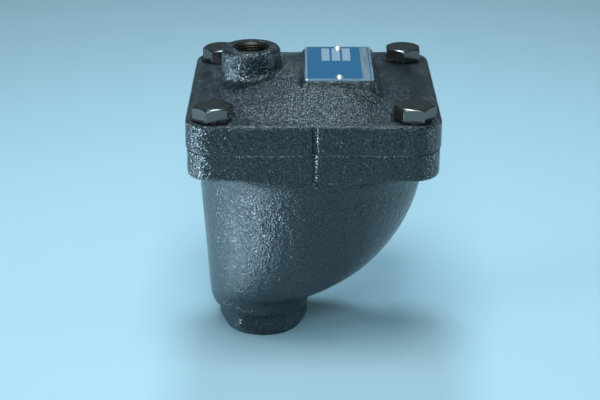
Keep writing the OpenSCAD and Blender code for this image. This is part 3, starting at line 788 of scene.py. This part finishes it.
@dataclass
class CornerBolts:
    """The four hexagon bolts of the cover."""

    diameter: float = 12.0
    across_flats: float = 18.0
    head_h: float = 7.5
    face_h: float = 0.4
    face_share: float = 0.95
    top_share: float = 0.96
    chamfer: float = math.radians(30)
    shank_l: float = 25.0
    thread_pitch: float = 1.75
    thread_share: float = 0.6
    thread_from: float = 4.0
    rows_per_turn: int = 6
    tip_l: float = 1.0
    tip_taper: float = 1.2
    neck_fillet: float = 0.6
    centre_r: float = 0.5
    top_inset: float = 3.0
    soft: float = 0.16
    edge_in: float = 0.3
    edge_down: float = 0.2
    sharp_angle: float = math.radians(15)
    sides: int = 6
    # Where the points along one side of the hexagon lie, in degrees
    side_steps: tuple[float, ...] = (0.7, 5, 12, 20, 30, 40, 48, 55, 59.3)
    # How far each head is turned, in degrees
    turns: tuple[float, ...] = (16.0, -5.0, 1.0, 29.0)
    slot: str = "black_steel"
    finish: Finish = BLACK_STEEL
    piece: bpy.types.Object | None = None

    def rings(self) -> np.ndarray:
        """Return the rings of one bolt, from the middle of its top down to its tip.

        Returns:
            Points as rings, with the seat of the head at the origin.
        """
        side = 360 / self.sides
        offsets = np.array(self.side_steps)
        turn = np.radians((np.arange(self.sides)[:, None] * side + offsets[None, :]).ravel())
        flat = self.across_flats / 2
        hexagon = flat / np.cos(np.radians(np.tile(offsets - side / 2, self.sides)))
        top_r = flat * self.top_share
        slope = math.tan(self.chamfer)
        edge = self.head_h - (hexagon - top_r) * slope
        one = np.ones_like(turn)
        face_r = flat * self.face_share
        shank_r = self.diameter / 2
        stack = [
            (self.centre_r * one, self.head_h * one),
            ((top_r - self.top_inset) * one, self.head_h * one),
            ((top_r - self.soft) * one, self.head_h * one),
            ((top_r + self.soft) * one, (self.head_h - self.soft * slope) * one),
            (hexagon - self.soft, edge + self.soft * slope),
            (hexagon - self.soft * self.edge_in, edge - self.soft * self.edge_down),
            (hexagon, edge - self.soft),
            (hexagon, (self.face_h + self.soft) * one),
            (hexagon - self.soft, self.face_h * one),
            (face_r * one, self.face_h * one),
            (face_r * one, 0 * one),
            ((shank_r + self.neck_fillet) * one, 0 * one),
            (shank_r * one, -self.neck_fillet * one)]
        depth = self.thread_pitch * self.thread_share
        row = self.thread_pitch / self.rows_per_turn
        for drop in np.arange(self.thread_from, self.shank_l - self.tip_l, row):
            wave = (1 - np.cos(2 * math.pi * drop / self.thread_pitch - turn)) / 2
            stack.append((shank_r - depth * wave, -drop * one))
        stack.append(((shank_r - self.tip_taper) * one, -self.shank_l * one))
        return np.array([
            np.stack([r * np.cos(turn), r * np.sin(turn), z], axis=1) for r, z in stack])

    def build(self) -> None:
        """Make the four bolts as one piece in place of their CAD node."""
        seat = node_box("cover_bolts")[1][2] - self.head_h
        rings = self.rings()
        count, cols = rings.shape[:2]
        points, faces = [], []
        u, v, h = rings.reshape(-1, 3).T
        for (x, y), turn in zip(bolt_places(), self.turns):
            c, s = math.cos(math.radians(turn)), math.sin(math.radians(turn))
            moved = np.stack([u * c - v * s, u * s + v * c, h], axis=1)
            faces += ring_faces(count, cols, sum(len(p) for p in points), False)
            points.append(moved + np.array([x, y, seat]))
        self.piece = shell_piece("hexagon_bolts", np.vstack(points), faces)
        self.piece.data.set_sharp_from_angle(angle=self.sharp_angle)
        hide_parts("cover_bolts")
        LOG.info("hexagon_bolts: %d faces", len(self.piece.data.polygons))

    def dress(self) -> None:
        """Give the bolts their black oxide."""
        self.piece.data.materials.append(self.finish.material())


class PrintField(Enum):
    """The fields printed on the plate, each with its finish."""

    BLUE = BLUE_LACQUER
    PALE = PALE_LACQUER
    SILVER = BARE_ALUMINIUM


@dataclass
class PlateAndRivets:
    """The plate on the cover's pad: blank printed fields, no words, and two rivets."""

    border: float = 1.1
    lift: float = 0.04
    band_from: float = 11.6
    band_to: float = 15.6
    boxes: tuple[tuple[float, float], ...] = ((-8.6, -4.4), (-3.2, 1.0), (2.2, 6.4))
    box_front: float = 3.0
    box_back: float = 25.0
    bevel: float = 0.18
    bevel_steps: int = 2
    slot: str = "plate"
    piece: bpy.types.Object | None = None

    def field_at(self, u: float, v: float) -> PrintField:
        """Say what is printed at a place.

        Args:
            u: Distance from the plate's middle, along X.
            v: Distance from the plate's middle, along Y.

        Returns:
            The field there.
        """
        if self.band_from < u < self.band_to:
            return PrintField.SILVER
        if any(a < u < b for a, b in self.boxes) and self.box_front < v < self.box_back:
            return PrintField.PALE
        return PrintField.BLUE

    def build(self) -> None:
        """Make the printed layer on top of the CAD plate, with each field in its finish."""
        low, high = node_box("nameplate")
        middle = (low + high) / 2
        half = (high - low) / 2 - self.border
        edges = [edge for box in self.boxes for edge in box]
        cuts_u = sorted({-half[0], half[0], self.band_from, self.band_to, *edges})
        cuts_v = sorted({-half[1], half[1], self.box_front, self.box_back})
        points = [(middle[0] + u, middle[1] + v, high[2] + h)
                  for h in (self.lift, -self.lift) for v in cuts_v for u in cuts_u]
        wide, long = len(cuts_u), len(cuts_v)
        order = list(PrintField)
        faces, kinds = [], []
        for layer in (0, wide * long):
            for j in range(long - 1):
                for i in range(wide - 1):
                    a = layer + j * wide + i
                    faces.append((a, a + 1, a + 1 + wide, a + wide))
                    u = (cuts_u[i] + cuts_u[i + 1]) / 2
                    v = (cuts_v[j] + cuts_v[j + 1]) / 2
                    kinds.append(order.index(self.field_at(u, v)))
        rim = (list(range(wide)) + [j * wide + wide - 1 for j in range(1, long)]
               + [(long - 1) * wide + i for i in range(wide - 2, -1, -1)]
               + [j * wide for j in range(long - 2, 0, -1)])
        for a, b in zip(rim, rim[1:] + rim[:1]):
            faces.append((a, b, b + wide * long, a + wide * long))
            kinds.append(order.index(PrintField.BLUE))
        self.piece = shell_piece("plate_print", np.array(points), faces)
        self.piece.data.shade_flat()
        for kind in order:
            self.piece.data.materials.append(kind.value.material())
        self.piece.data.polygons.foreach_set("material_index", kinds)
        LOG.info("plate_print: %d faces", len(faces))

    def dress(self) -> None:
        """Give the sheet its bare aluminium and soft edges, and the rivets their dulled polish."""
        for node, finish in (("nameplate", BARE_ALUMINIUM), ("nameplate_rivets", RIVET_ALUMINIUM)):
            piece = frame["nodes"][node]
            piece.data.materials.clear()
            piece.data.materials.append(finish.material())
        soft = frame["nodes"]["nameplate"].modifiers.new("soft_edges", "BEVEL")
        soft.width = self.bevel * MM
        soft.segments = self.bevel_steps
        soft.limit_method = "ANGLE"


@dataclass
class FloatGear:
    """The seat, bracket, lever, stem and float inside, and the gasket between the flanges."""

    finishes: dict[str, Finish] = field(default_factory=lambda: {
        "cover_gasket": FIBRE_SHEET, "valve_seat": TURNED_BRASS, "seat_gasket": TURNED_BRASS,
        "valve_disc": RUBBER, **{node: STAINLESS for node in (
            "lever_bracket", "bracket_screws", "bracket_washers", "hinge_pin", "hinge_clips",
            "float_lever", "valve_stem", "stem_pin", "stem_clips", "float_upper", "float_lower",
            "float_stud", "float_nut", "float_washer")}})

    def build(self) -> None:
        """Report the pieces that keep their CAD shape."""
        for node in self.finishes:
            LOG.info("%s: CAD shape kept", node)

    def dress(self) -> None:
        """Give each piece its finish."""
        for node, finish in self.finishes.items():
            piece = frame["nodes"][node]
            piece.data.materials.clear()
            piece.data.materials.append(finish.material())


@dataclass(frozen=True)
class Softbox:
    """One soft lamp of the studio."""

    name: str
    place_m: tuple[float, float, float]
    size_m: tuple[float, float]
    power_w: float
    tone: str
    spread: float = math.pi
    upward: bool = False

    def light(self, target: Vector) -> None:
        """Hang the lamp and turn it towards a point, or lay it down to shine upward.

        Args:
            target: The point, in metres.
        """
        lamp = bpy.data.lights.new(self.name, "AREA")
        lamp.shape = "RECTANGLE"
        lamp.size, lamp.size_y = self.size_m
        lamp.energy = self.power_w
        lamp.spread = self.spread
        lamp.color = linear(self.tone)[:3]
        holder = bpy.data.objects.new(self.name, lamp)
        holder.location = self.place_m
        aim = Vector((0, 0, 1)) if self.upward else target - holder.location
        holder.rotation_euler = aim.to_track_quat("-Z", "Y").to_euler()
        holder.visible_camera = False
        bpy.context.scene.collection.objects.link(holder)


# Daylight tone of the lamps, the opening of a narrow beam, and the height of a lamp on the floor
DAYLIGHT = "#c6e6f8"
NARROW_BEAM = math.radians(30)
ON_FLOOR_M = 0.002


@dataclass
class Studio:
    """Floor, sky, lamps and camera."""

    lamps: tuple[Softbox, ...] = (
        Softbox("soft_left", place_m=(-1.0, -0.33, 0.085), size_m=(0.7, 0.16), power_w=1.4,
                tone=DAYLIGHT, spread=NARROW_BEAM),
        Softbox("soft_right", place_m=(1.0, 0.0, 0.085), size_m=(0.7, 0.16), power_w=0.24,
                tone=DAYLIGHT, spread=NARROW_BEAM),
        Softbox("soft_top", place_m=(0.0, -0.3, 1.1), size_m=(0.5, 0.5), power_w=8.0,
                tone="#e2f0f4"),
        Softbox("soft_front", place_m=(0.0, -0.9, 0.75), size_m=(0.3, 0.3), power_w=4.2,
                tone=DAYLIGHT),
        Softbox("soft_back", place_m=(0.0, 0.42, 0.85), size_m=(0.16, 0.16), power_w=3.8,
                tone=DAYLIGHT),
        Softbox("card_left", place_m=(-0.18, -0.015, ON_FLOOR_M), size_m=(0.07, 0.07),
                power_w=0.092, tone=DAYLIGHT, upward=True),
        Softbox("card_near", place_m=(-0.0825, -0.059, ON_FLOOR_M), size_m=(0.075, 0.052),
                power_w=0.112, tone=DAYLIGHT, upward=True))
    floor_half_m: float = 6.0
    floor_tone: str = "#b6d2dc"
    sky_tone: str = "#c0dfe8"
    sky_strength: float = 0.2
    camera_place_m: tuple[float, float, float] = (0.02, -0.7956, 0.3938)
    camera_pitch: float = math.radians(22.1)
    lens_mm: float = 96.0
    sensor_mm: float = 36.0
    clip_start_m: float = 0.01
    floor_roughness: float = 0.9

    def build(self) -> None:
        """Lay the floor, hang the lamps and place the camera."""
        h = self.floor_half_m
        mesh = bpy.data.meshes.new("floor")
        mesh.from_pydata([(-h, -h, 0), (h, -h, 0), (h, h, 0), (-h, h, 0)], [], [(0, 1, 2, 3)])
        floor = bpy.data.objects.new("floor", mesh)
        bpy.context.scene.collection.objects.link(floor)
        low, high = CAD_BOX
        target = (Vector(low) + Vector(high)) / 2
        for lamp in self.lamps:
            lamp.light(target)
        lens = bpy.data.cameras.new("camera")
        lens.lens = self.lens_mm
        lens.sensor_width = self.sensor_mm
        lens.sensor_fit = "HORIZONTAL"
        lens.clip_start = self.clip_start_m
        camera = bpy.data.objects.new("camera", lens)
        camera.location = self.camera_place_m
        camera.rotation_euler = (math.pi / 2 - self.camera_pitch, 0, 0)
        bpy.context.scene.collection.objects.link(camera)
        bpy.context.scene.camera = camera
        LOG.info("floor, %d lamps and camera", len(self.lamps))

    def dress(self) -> None:
        """Paint the floor and set the even sky."""
        paper = bpy.data.materials.new("paper_pale_matt")
        paper.use_nodes = True
        shader = paper.node_tree.nodes["Principled BSDF"]
        shader.inputs["Base Color"].default_value = linear(self.floor_tone)
        shader.inputs["Roughness"].default_value = self.floor_roughness
        bpy.data.objects["floor"].data.materials.append(paper)
        world = bpy.data.worlds.new("studio_sky")
        bpy.context.scene.world = world
        world.use_nodes = True
        sky = world.node_tree.nodes["Background"]
        sky.inputs["Color"].default_value = linear(self.sky_tone)
        sky.inputs["Strength"].default_value = self.sky_strength
        bpy.context.scene.view_settings.view_transform = "Standard"


def main() -> None:
    """Build and dress every sub-assembly in order."""
    logging.basicConfig(level=logging.INFO, format="%(message)s")
    parts = (
        BodyCasting(), CoverCasting(),
        PipeThread("outlet", pitch=1.337, ridge=0.856, chamfer=0.75, mouth_step=0.7),
        PipeThread("inlet", pitch=1.814, ridge=1.162, chamfer=0.5, mouth_step=0.0),
        CornerBolts(), PlateAndRivets(), FloatGear(), Studio())
    for part in parts:
        part.build()
        part.dress()


if __name__ == "__main__":
    main()
